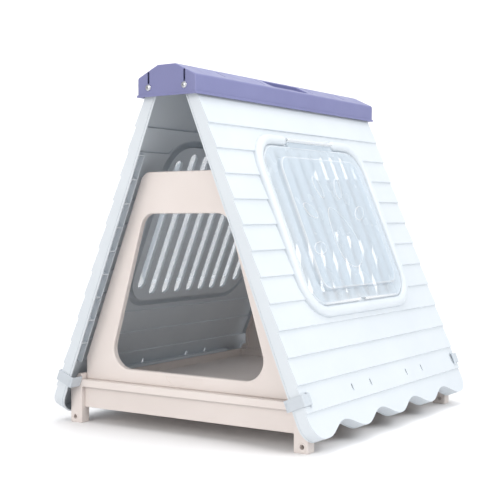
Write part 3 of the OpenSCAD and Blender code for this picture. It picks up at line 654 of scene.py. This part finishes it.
def seatCorners():       # the rail inside a panel that stands on the base's ledge
    low = ledgeTop + seatRail["gap"]
    high = low + seatRail["height"]
    inner = baseHigh.x - seatRail["rimFromLeg"] - seatRail["reach"]
    hold = (panel["wall"] + 1) / cos(roofAngle) - 1
    return [(inner, low), (faceX(low) - hold, low), (faceX(high) - hold, high), (inner, high)]


for side in ("right", "left"):
    finished(sidePanelSolid(), side + "SidePanel", side + "_side", panelPolypropylene,
             slopeToFrame(side), panel["softEdge"], 48)
    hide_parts(side + "_side_panel")
print("side panels built")

# Window covers
cover = {
    "gap": 3, "thickness": 2.5, "under": 1, "rise": 16, "sideMargin": 44, "endMargin": 29,
    "raisedRadius": 35, "barrel": 10, "tongueGap": 2, "notchWidth": 26, "notchDepth": 6,
}
paw = {     # generic relief: one pad and an even fan of oval toes
    "place": (38, -12), "tilt": 19, "toes": 5, "fan": 41, "toeRadius": 127,
    "toeLength": 56, "toeBreadth": 30, "padLength": 150, "padBreadth": 128, "rise": 1.6,
}


def coverRing(halfU, halfY, radius, w, steps=10):
    outline = rectangleOutline(halfU, halfY, radius, (window["middle"], 0), steps)(0)
    return [(u, y, w) for u, y in outline]


def coverShell():
    halfU = window["innerHalfU"] - cover["gap"]
    halfY = window["innerHalfY"] - cover["gap"]
    radius = window["innerRadius"] - cover["gap"]
    innerU, innerY = halfU - cover["endMargin"], halfY - cover["sideMargin"]
    low, skin, top = cover["under"], cover["thickness"], cover["rise"]
    rings = []
    # underside of the raised middle, its wall, then the margin's underside; the first value moves inward
    for inward, w in ((14, top - skin), (5.5, top - skin), (4.4, top - skin - 0.9), (3.9, top - skin - 2.4),
                      (1.9, low + 3), (1.0, low + 1), (-1.5, low)):
        rings.append(coverRing(innerU - inward, innerY - inward, cover["raisedRadius"] - inward, w))
    for k in range(7):       # outer rim
        swing = pi * k / 6 - pi / 2
        inset = skin / 2 * (1 - cos(swing))
        rings.append(coverRing(
            halfU - inset, halfY - inset, radius - inset, low + skin / 2 * (1 + sin(swing))))
    for inset, lift in ((2.4, 0.9), (3.4, 1.1), (4.4, 0.9), (6.2, 0)):       # a fine bead round the rim
        rings.append(coverRing(halfU - inset, halfY - inset, radius - inset, low + skin + lift))
    for inward, w in ((-4.5, low + skin), (-1.5, low + skin + 0.7), (0, low + skin + 2.6), (1.6, top - 1.8),
                      (2.4, top - 0.5), (4.0, top), (5.0, top + 0.35), (6.2, top), (14, top - 0.1)):
        rings.append(coverRing(innerU - inward, innerY - inward, cover["raisedRadius"] - inward, w))
    return loft(rings)


def reliefShape(outline):        # a low relief set into the cover's face
    top = cover["rise"]
    rings = []
    # a thin raised rim, then a face a little lower than it
    for inset, lift in (
            (0, -0.75), (0, -0.06), (0.5, 0.6), (1.2, 0.95), (2.0, 1), (2.8, 0.9), (3.6, 0.5), (5, 0.4)):
        rings.append([(u, y, top + lift * paw["rise"]) for u, y in outline(inset)])
    return loft(rings)


def ovalOutline(length, breadth, taper=0.0):
    def outline(inset):
        points = []
        for k in range(48):
            angle = 2 * pi * k / 48
            width = 1 - 0.8 * taper + taper * cos(angle) if taper else 1
            points.append(((length / 2 - inset) * cos(angle), (breadth / 2 - inset) * sin(angle) * width))
        return points
    return outline


def turnedOutline(outline, turn, move):
    return lambda inset: [(move[0] + a * cos(turn) - b * sin(turn), move[1] + a * sin(turn) + b * cos(turn))
                          for a, b in outline(inset)]


def pawShapes():
    tilt = radians(paw["tilt"])
    middle = (window["middle"] + paw["place"][0], paw["place"][1])
    pad = ovalOutline(paw["padLength"], paw["padBreadth"], 0.25)
    toe = ovalOutline(paw["toeLength"], paw["toeBreadth"])
    shapes = [reliefShape(turnedOutline(pad, tilt, middle))]
    for i in range(paw["toes"]):
        turn = tilt + radians((i - (paw["toes"] - 1) / 2) * paw["fan"])
        place = (middle[0] - paw["toeRadius"] * cos(turn), middle[1] - paw["toeRadius"] * sin(turn))
        shapes.append(reliefShape(turnedOutline(toe, turn, place)))
    return merged(*shapes)


def coverSolid():
    halfU = window["innerHalfU"] - cover["gap"]
    halfHinge = window["hingeGap"] / 2 - cover["tongueGap"]
    edge = window["middle"] - halfU
    piece = solid(coverShell())
    combine(piece, "UNION", pawShapes(),
            roundedBlock((window["barU"], -halfHinge, cover["under"] + 0.02),
                         (edge + 3, halfHinge, cover["under"] + cover["thickness"] - 0.02), 1, 0.6),
            rod((window["barU"], window["barHeight"]), -halfHinge, halfHinge, cover["barrel"] / 2, alongY, 1.0))
    notch = rectangleOutline(cover["notchDepth"], cover["notchWidth"] / 2, 4, (window["middle"] + halfU, 0))
    return combine(piece, "DIFFERENCE", prism(notch, -2, cover["rise"] - 4),
                   rod((window["barU"], window["barHeight"]), -2 * halfHinge, 2 * halfHinge,
                       window["rodHole"], alongY))


for side in ("right", "left"):
    finished(coverSolid(), side + "WindowCover", side + "_cover", frostedPolypropylene,
             slopeToFrame(side))
    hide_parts(side + "_window_cover")
print("window covers built")

# Corner clips
def clipSolid():         # the clip at the front of a panel
    thick, rest = clip["thickness"], clip["rest"]
    far = -panel["flange"] - clip["grip"]
    legGap = halfLength - baseHigh.y - rest
    corners = [(-rest - thick, far), (legGap, far), (legGap, far + thick), (-rest, far + thick), (-rest, rest),
               (clip["reach"], rest), (clip["reach"], rest + thick), (-rest - thick, rest + thick)]
    place = lambda a, b, depth: (depth, a - halfLength, b)
    low, high = clipU - clip["width"] / 2, clipU + clip["width"] / 2
    outline = polygonOutline(corners, [1.6, 1.2, 1.2, 0.8, 0.8, 0, 0, 2.2], 5)
    piece = solid(prism(outline, low, high, place, 0.7, 0.7, 3))
    ribs = merged(*[rod((-rest - thick + 0.25, far + i * clip["grip"] / (clip["ribs"] + 1)),
                        low + 2.5, high - 2.5, clip["ribRadius"], place, 0.5, 16)
                    for i in range(1, clip["ribs"] + 1)])
    barrel = rod((clip["reach"], clip["barHeight"]), low, high, clip["bar"] / 2 + clip["barrelWall"], place, 0.4)
    combine(piece, "UNION", ribs, barrel)
    return combine(piece, "DIFFERENCE", rod(
        (clip["reach"], clip["barHeight"]), low - 1, high + 1, clip["bar"] / 2 + clip["turning"], place))


for side in ("right", "left"):
    for end in ("front", "rear"):
        turn = frontToRear if end == "rear" else Matrix.Identity(4)
        piece = clipSolid()
        finished(piece, end + side.capitalize() + "Clip", "clip_" + end + "_" + side,
                 clipPolypropylene, slopeToFrame(side) @ turn)
        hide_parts(end + "_" + side + "_clip")
print("corner clips built")

# Ridge cap
cap = {
    "wall": 2.5, "side": 40, "topHalf": 23, "lip": 3, "lipHeight": 5,
    "shoulderRound": 6, "topRound": 9, "endRound": 2.5, "handHold": 160, "handDepth": 8, "handMargin": 10,
    "slotLength": 30, "slotWidth": 4, "slotPlaces": (110, 264), "endSlot": 5, "endSlotDepth": 8,
    "endSlotStart": 8, "endSlotRun": 25,
}
capBottom, capTop = capLow.z, capHigh.z
capHalf = capHigh.x - cap["lip"]
capShoulder = capBottom + cap["side"]
headHeight = 4           # the screw heads stand this far proud of the cap's ends
capLength = -nodeBox("front_left_screw")[0].y - headHeight
shoulderAngle = atan2(capTop - capShoulder, capHalf - cap["topHalf"])
shoulderWidth = hypot(capTop - capShoulder, capHalf - cap["topHalf"])


def capOutline(low):     # the cap's section, open at the foot
    corners = [(-capHalf, low), (capHalf, low), (capHalf, capShoulder), (cap["topHalf"], capTop),
               (-cap["topHalf"], capTop), (-capHalf, capShoulder)]
    radii = [0, 0, cap["shoulderRound"], cap["topRound"], cap["topRound"], cap["shoulderRound"]]
    return polygonOutline(corners, radii, 6)


def onShoulder(shape, side):     # from (down the shoulder, y, out of it) to the frame
    points, faces = shape
    turned = [(side * (cap["topHalf"] + a * cos(shoulderAngle) + c * sin(shoulderAngle)), b,
               capTop - a * sin(shoulderAngle) + c * cos(shoulderAngle)) for a, b, c in points]
    return turned, faces if side > 0 else [face[::-1] for face in faces]


def capSolid():
    wall, middle = cap["wall"], shoulderWidth / 2 - 1
    piece = solid(prism(
        capOutline(capBottom - 20), -capLength, capLength, alongY, cap["endRound"], cap["endRound"]))
    lip = rectangleOutline(capHigh.x, capLength + 1, 2.5)
    combine(piece, "UNION", prism(lip, capBottom, capBottom + cap["lipHeight"], alongZ, 0, 1.6))
    inside = prism(
        lambda inset: capOutline(capBottom - 40)(wall), -capLength + wall, capLength - wall, alongY)
    combine(piece, "DIFFERENCE", inside, roundedBlock(
        (-2 * capHalf, -2 * capLength, capBottom - 60), (2 * capHalf, 2 * capLength, capBottom), 1, 0))
    pocket = shoulderWidth / 2 - cap["handMargin"]
    for side in (-1, 1):
        combine(piece, "UNION", onShoulder(roundedBlock(
            (middle - pocket - wall, -cap["handHold"] / 2 - wall, -cap["handDepth"] - wall),
            (middle + pocket + wall, cap["handHold"] / 2 + wall, -0.4), 12, 0.8), side))
    for side in (-1, 1):
        recess = rectangleOutline(pocket, cap["handHold"] / 2, 10, (middle, 0))
        slots = merged(*[prism(
            rectangleOutline(cap["slotLength"] / 2, cap["slotWidth"] / 2, cap["slotWidth"] / 2 - 0.05,
                             (shoulderWidth / 2 - 2, end * place)), -2 * wall, 0, alongZ, 0, -0.7)
            for place in cap["slotPlaces"] for end in (-1, 1)])
        combine(piece, "DIFFERENCE", onShoulder(prism(recess, -cap["handDepth"], 0, alongZ, 1.5, -1.8), side),
                onShoulder(slots, side))
    bosses, holes, ends = [], [], []
    for side in (-1, 1):
        x = side * ridgePivot.x
        for end in (-1, 1):
            span = sorted((end * (halfLength + 0.3), end * (capLength - 1)))
            bosses.append(rod((x, ridgePivot.z), span[0], span[1], 9, alongY, 0.5))
            start, depth = ridgePivot.z + cap["endSlotStart"], cap["endSlotDepth"]
            low, high = sorted((end * (capLength - depth), end * (capLength + depth)))
            ends.append(roundedBlock(
                (x - cap["endSlot"] / 2, start, low),
                (x + cap["endSlot"] / 2, start + cap["endSlotRun"], high), 1.5, 0, alongY))
        holes.append(rod((x, ridgePivot.z), -2 * capLength, 2 * capLength, screwHole, alongY))
    combine(piece, "UNION", merged(*bosses))
    return combine(piece, "DIFFERENCE", merged(*ends), merged(*holes))


ridgeCap = finished(
    capSolid(), "ridgeCap", "roof", capPolypropylene, Matrix.Identity(4), 0.5, 50)
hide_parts("ridge_cap")
print("ridge cap built")

# Gables
gable = {
    "wall": 3, "inset": 23, "topRound": 26, "kneeRound": 6, "footRound": 4, "rim": 2.6,
    "sill": 30, "header": 90, "doorTop": 110, "doorSill": 212, "headRound": 34, "footDoorRound": 44,
    "lip": 3.2, "tabX": 117, "tabWidth": 26, "tabDepth": 3, "tabPlay": 0.5,
    "recessHalf": 55, "recessDrop": 20, "recessSlant": 24, "recessDepth": 1.5,
    "vents": 7, "ventLength": 150, "ventWidth": 16, "ventPitch": 38, "ventFall": 10,
}
gableTop, gableHalf = gableHigh.z, gableHigh.x
gableFront, gableBack = gableLow.y, gableHigh.y


def bothSides(points):
    return points + [(-x, z) for x, z in reversed(points)]


def gableOutline():
    lineX = lambda z: faceX(z) - gable["inset"] / cos(roofAngle)
    knee = gableTop
    while lineX(knee) < gableHalf:       # down the slope to where the gable's upright sides begin
        knee -= 0.05
    right = [(gableHalf, ledgeTop), (gableHalf, knee), (lineX(gableTop), gableTop)]
    radii = [gable["footRound"], gable["kneeRound"], gable["topRound"]]
    return polygonOutline(bothSides(right), radii + radii[::-1], 10)


def doorOutline():
    sillZ, topZ = ledgeTop + gable["sill"], gableTop - gable["header"]
    right = [(gable["doorSill"], sillZ), (gable["doorTop"], topZ)]
    radii = [gable["footDoorRound"], gable["headRound"]]
    return polygonOutline(bothSides(right), radii + radii[::-1], 12)


def gableShell():
    outline = gableOutline()
    piece = solid(prism(outline, gableFront, gableBack, alongY, gable["rim"], 0))
    combine(piece, "DIFFERENCE", prism(
        lambda inset: outline(gable["wall"] + inset), gableFront + gable["wall"], gableBack + 1, alongY))
    half, back = gable["tabWidth"] / 2, (gableFront + gableBack) / 2
    tabs = merged(*[roundedBlock(
        (side * gable["tabX"] - half, ledgeTop - tabHeight, back - gable["tabDepth"]),
        (side * gable["tabX"] + half, ledgeTop + 3, back), 1, 0.3, alongY) for side in (-1, 1)])
    return combine(piece, "UNION", tabs)


def frontGableSolid():
    door = doorOutline()
    piece = gableShell()
    combine(piece, "UNION", prism(
        lambda inset: door(inset - gable["wall"]), gableFront + 0.6, gableBack, alongY, 0, 0.8))
    sillZ = ledgeTop + gable["sill"]
    top, half = sillZ - 6, gable["recessHalf"]
    low = top - gable["recessDrop"]
    recess = polygonOutline([(-half, top), (-half + gable["recessSlant"], low),
                             (half - gable["recessSlant"], low), (half, top)], [3, 4, 4, 3], 4)
    return combine(
        piece, "DIFFERENCE", prism(door, gableFront, gableBack, alongY, -gable["lip"], -1.5, 6),
        prism(recess, gableFront - 2, gableFront + gable["recessDepth"], alongY, 0, 0.8))


def rearGableSolid():
    piece = gableShell()
    middle = (ledgeTop + gableTop) / 2 + 20
    side = (gable["vents"] - 1) // 2
    half = gable["ventWidth"] / 2
    vents = [prism(
        rectangleOutline(half, gable["ventLength"] / 2, half - 0.05,
                         (i * gable["ventPitch"], middle - gable["ventFall"] * abs(i))),
        gableFront, gableFront + 8, alongY, -1.2, 0) for i in range(-side, side + 1)]
    return combine(piece, "DIFFERENCE", merged(*vents))


frontGable = finished(frontGableSolid(), "frontGable", "base", gablePolypropylene,
                      Matrix.Identity(4), 0.5, 50)
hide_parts("front_gable")
rearGable = finished(rearGableSolid(), "rearGable", "base", gablePolypropylene,
                     frontToRear, 0.5, 50)
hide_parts("rear_gable")
print("gables built")

# Base
base = {
    "wall": 4, "rimHeight": 17, "rimFromLeg": 9, "apronGap": 35, "apronRecess": 12, "rim": 2.2,
    "legWidth": 33, "legDepth": 26, "legTopWidth": 11, "legShoulder": 80, "legTop": 112, "legEdge": 2.0,
    "ledgeDepth": 35, "sideLedge": 14, "holeZ": 13, "hole": 5, "holeShift": 3, "rimRing": 8.5, "rimRise": 0.8,
    "mouthFlare": 1.2,
}
legOuter, legFront = baseHigh.x, baseHigh.y
rimHalf = legOuter - base["rimFromLeg"]
rimBottom = ledgeTop - base["rimHeight"]
floorLow = rimBottom - base["wall"]


def block(halfX, halfY, low, high, edge=0, radius=1):
    return roundedBlock((-halfX, -halfY, low), (halfX, halfY, high), radius, edge)


def ringWall(halfX, halfY, low, high, edge=0):
    piece = solid(block(halfX, halfY, low, high, edge, 2))
    hollow = block(halfX - base["wall"], halfY - base["wall"], low - 1, high + 1)
    return shapeOf(combine(piece, "DIFFERENCE", hollow))


def legShape(sideX, sideY):
    inner = legOuter - base["legWidth"]
    corners = [(inner, 0), (legOuter, 0), (legOuter, base["legShoulder"]),
               (inner + base["legTopWidth"], base["legTop"]), (inner, base["legTop"])]
    outline = polygonOutline([(sideX * x, z) for x, z in corners], [2.5, 2.5, 5, 3, 2], 4)
    span = sorted((sideY * legFront, sideY * (legFront - base["legDepth"])))
    return prism(outline, span[0], span[1], alongY, base["legEdge"], base["legEdge"])


def baseSolid():
    wall = base["wall"]
    ledgeInnerX, ledgeInnerY = rimHalf - base["sideLedge"], legFront - base["ledgeDepth"]
    apronX, apronY = rimHalf - base["apronRecess"] / 2, legFront - base["apronRecess"]
    piece = solid(block(rimHalf, legFront, rimBottom, ledgeTop, base["rim"], 3))
    combine(piece, "DIFFERENCE", block(rimHalf - wall, legFront - wall, rimBottom - 5, ledgeTop - wall),
            block(ledgeInnerX, ledgeInnerY, rimBottom - 9, ledgeTop + 9, 0, 6))
    combine(piece, "UNION", ringWall(ledgeInnerX + wall, ledgeInnerY + wall, floorLow, ledgeTop - 0.4),
            ringWall(apronX, apronY, base["apronGap"], ledgeTop - 1, 1.2),
            block(apronX - 0.5, apronY - 0.5, floorLow, rimBottom, 0, 2))
    for sideX in (-1, 1):
        for sideY in (-1, 1):
            combine(piece, "UNION", legShape(sideX, sideY))
    rims, holes = [], []
    for sideX in (-1, 1):
        place = (sideX * (legOuter - base["legWidth"] / 2 + base["holeShift"]), base["holeZ"])
        for sideY in (-1, 1):
            rims.append(rod(place, *sorted((sideY * (legFront - 4), sideY * (legFront + base["rimRise"]))),
                            base["rimRing"], alongY, 0.7))
            # the mouth opens at a rim's face, and the hole runs out at the leg's other side
            mouth, back = sideY * (legFront + base["rimRise"]), sideY * (legFront - base["legDepth"] - 3)
            circle = circleOutline(place, base["hole"])
            flare = -base["mouthFlare"]
            holes.append(prism(circle, mouth, back, alongY, flare, 0) if sideY < 0
                         else prism(circle, back, mouth, alongY, 0, flare))
    combine(piece, "UNION", merged(*rims))
    slotX, slotY = gable["tabWidth"] / 2 + gable["tabPlay"], gable["tabDepth"] / 2 + gable["tabPlay"]
    slots = []
    for sideX in (-1, 1):
        for sideY in (-1, 1):
            x, y = sideX * gable["tabX"], sideY * ((gableFront + gableBack) / 2 - gable["tabDepth"] / 2)
            slots.append(roundedBlock(
                (x - slotX, y - slotY, ledgeTop - 9), (x + slotX, y + slotY, ledgeTop + 3), 1.2, 0))
    return combine(piece, "DIFFERENCE", merged(*holes), merged(*slots))


baseTray = finished(
    baseSolid(), "baseTray", "base", gablePolypropylene, Matrix.Identity(4), 0.6, 50)
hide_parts("base_tray")
print("base built")

# Screws, nuts and rods
screw = {"head": 7, "shank": 3, "socket": 2.3, "socketDepth": 2.2, "point": 0.6, "sides": 48}
shankEnd = -nodeBox("front_right_screw")[1].y


def ringAround(x, z, y, radius, count):
    return [(x + radius * cos(2 * pi * i / count), y, z + radius * sin(2 * pi * i / count))
            for i in range(count)]


def screwSolid(sideX):   # a front screw: a pan head with a six-sided socket, standing on the cap's end
    x, z = sideX * ridgePivot.x, ridgePivot.z
    head, shank, point = screw["head"], screw["shank"], screw["point"]
    # radius, and how far out of the cap's end; negative is inward
    profile = [(across * head, out * headHeight) for across, out in (
        (0.25, 1), (0.55, 0.97), (0.78, 0.82), (0.92, 0.58), (0.99, 0.28))]
    profile += [(head, 0.1), (head - 0.3, 0), (shank, 0),
                (shank, shankEnd - capLength + point), (shank - point, shankEnd - capLength)]
    piece = solid(loft([
        ringAround(x, z, -capLength - out, radius, screw["sides"]) for radius, out in profile]))
    top = -capLength - headHeight
    socket = [ringAround(x, z, y, screw["socket"], 6) for y in (top - 1, top + screw["socketDepth"])]
    return combine(piece, "DIFFERENCE", loft(socket))


for end, turn in (("front", Matrix.Identity(4)), ("rear", frontToRear)):
    for side, sideX in (("left", -1), ("right", 1)):
        piece = finished(screwSolid(sideX), end + side.capitalize() + "Screw", "roof",
                         zincPlatedSteel, turn, 0.12, 50)
        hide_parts(end + "_" + side + "_screw")
for name, piece in frame["nodes"].items():       # turned rods and six-sided nuts keep their shape
    if name.endswith("_nut") or name.endswith("_rod"):
        for place in piece.material_slots:
            place.material = zincPlatedSteel
print("screws, nuts and rods ready")

# Floor, light and camera
studio = {
    "floor": "#f4f4f5", "floorHalf": 6.0, "sky": "#ffffff", "skyStrength": 0.6,
}


def floorMaterial():     # matt paper sweep: only a faint unevenness shows
    material = bpy.data.materials.new("paperSweep")
    material.use_nodes = True
    tree = material.node_tree
    shader = tree.nodes["Principled BSDF"]
    place = addNode(tree, "ShaderNodeTexCoord").outputs["Object"]
    fibre = addNode(tree, "ShaderNodeTexNoise", None, {
        "Vector": place, "Scale": perMetre(120), "Detail": 4.0})
    tone = addNode(tree, "ShaderNodeMix", {"data_type": "RGBA"}, {
        "Factor": fibre.outputs["Fac"], "A": linear("#f1f1f2"), "B": linear(studio["floor"])})
    tree.links.new(tone.outputs["Result"], shader.inputs["Base Color"])
    shader.inputs["Roughness"].default_value = 0.85
    return material


def makeFloor():         # a floor that curves up far behind the house
    half, back, rise = studio["floorHalf"], 4.0, 3.0
    points, faces = [], []
    turns = [k * pi / 24 for k in range(13)]
    strip = [(-half, 0)] + [(back + rise * sin(turn), rise * (1 - cos(turn))) for turn in turns]
    strip.append((back + rise, 6.0))
    for y, z in strip:
        points += [(-2 * half, y, z), (2 * half, y, z)]
    for k in range(len(strip) - 1):
        faces.append((2 * k, 2 * k + 1, 2 * k + 3, 2 * k + 2))
    mesh = bpy.data.meshes.new("sweep")
    mesh.from_pydata(points, [], faces)
    for face in mesh.polygons:
        face.use_smooth = True
    floor = bpy.data.objects.new("sweep", mesh)
    floor.data.materials.append(floorMaterial())
    scene.collection.objects.link(floor)
    floor.rotation_euler.z = radians(view["yaw"])


view = {     # the camera's place in metres, its heading from +Y towards -X, its tilt and roll in degrees
    "place": (1.352, -2.132, 0.462), "yaw": 33.58, "tilt": -1.57, "roll": -0.11,
    "lens": 76.46, "shift": (0.0074, -0.0057),
}
camera = bpy.data.objects.new("camera", bpy.data.cameras.new("camera"))
scene.collection.objects.link(camera)
camera.location = view["place"]
camera.rotation_euler = (Matrix.Rotation(radians(view["yaw"]), 3, "Z")
                         @ Matrix.Rotation(radians(90 + view["tilt"]), 3, "X")
                         @ Matrix.Rotation(radians(view["roll"]), 3, "Z")).to_euler()
camera.data.lens = view["lens"]
camera.data.sensor_width = 36
camera.data.shift_x, camera.data.shift_y = view["shift"]
camera.data.clip_start, camera.data.clip_end = 0.05, 60
scene.camera = camera
makeFloor()

lamps = {    # place, aim, size in metres, power in watts, colour
    "sideSoftbox": ((3.0, -0.6, 2.3), (0.1, 0.0, 0.4), 1.8, 70, "#ffffff"),
    "frontSoftbox": ((-0.2, -3.4, 1.6), (0.0, 0.0, 0.35), 1.6, 44, "#fffaf6"),
    "topSoftbox": ((0.2, 0.3, 3.2), (0.0, 0.0, 0.3), 2.6, 60, "#fafcff"),
    "sweepSoftbox": ((-1.1, 1.7, 3.4), (-3.3, 5.0, 1.5), 2.4, 170, "#ffffff"),
}
for name, (place, aim, size, power, colour) in lamps.items():
    lamp = bpy.data.lights.new(name, "AREA")
    lamp.shape = "SQUARE"
    lamp.size = size
    lamp.energy = power
    lamp.color = linear(colour)[:3]
    holder = bpy.data.objects.new(name, lamp)
    holder.location = place
    holder.rotation_euler = (Vector(aim) - Vector(place)).to_track_quat("-Z", "Y").to_euler()
    scene.collection.objects.link(holder)

world = bpy.data.worlds.new("studio")
scene.world = world
world.use_nodes = True
world.node_tree.nodes["Background"].inputs["Color"].default_value = linear(studio["sky"])
world.node_tree.nodes["Background"].inputs["Strength"].default_value = studio["skyStrength"]
scene.view_settings.view_transform = "Standard"
print("studio ready")
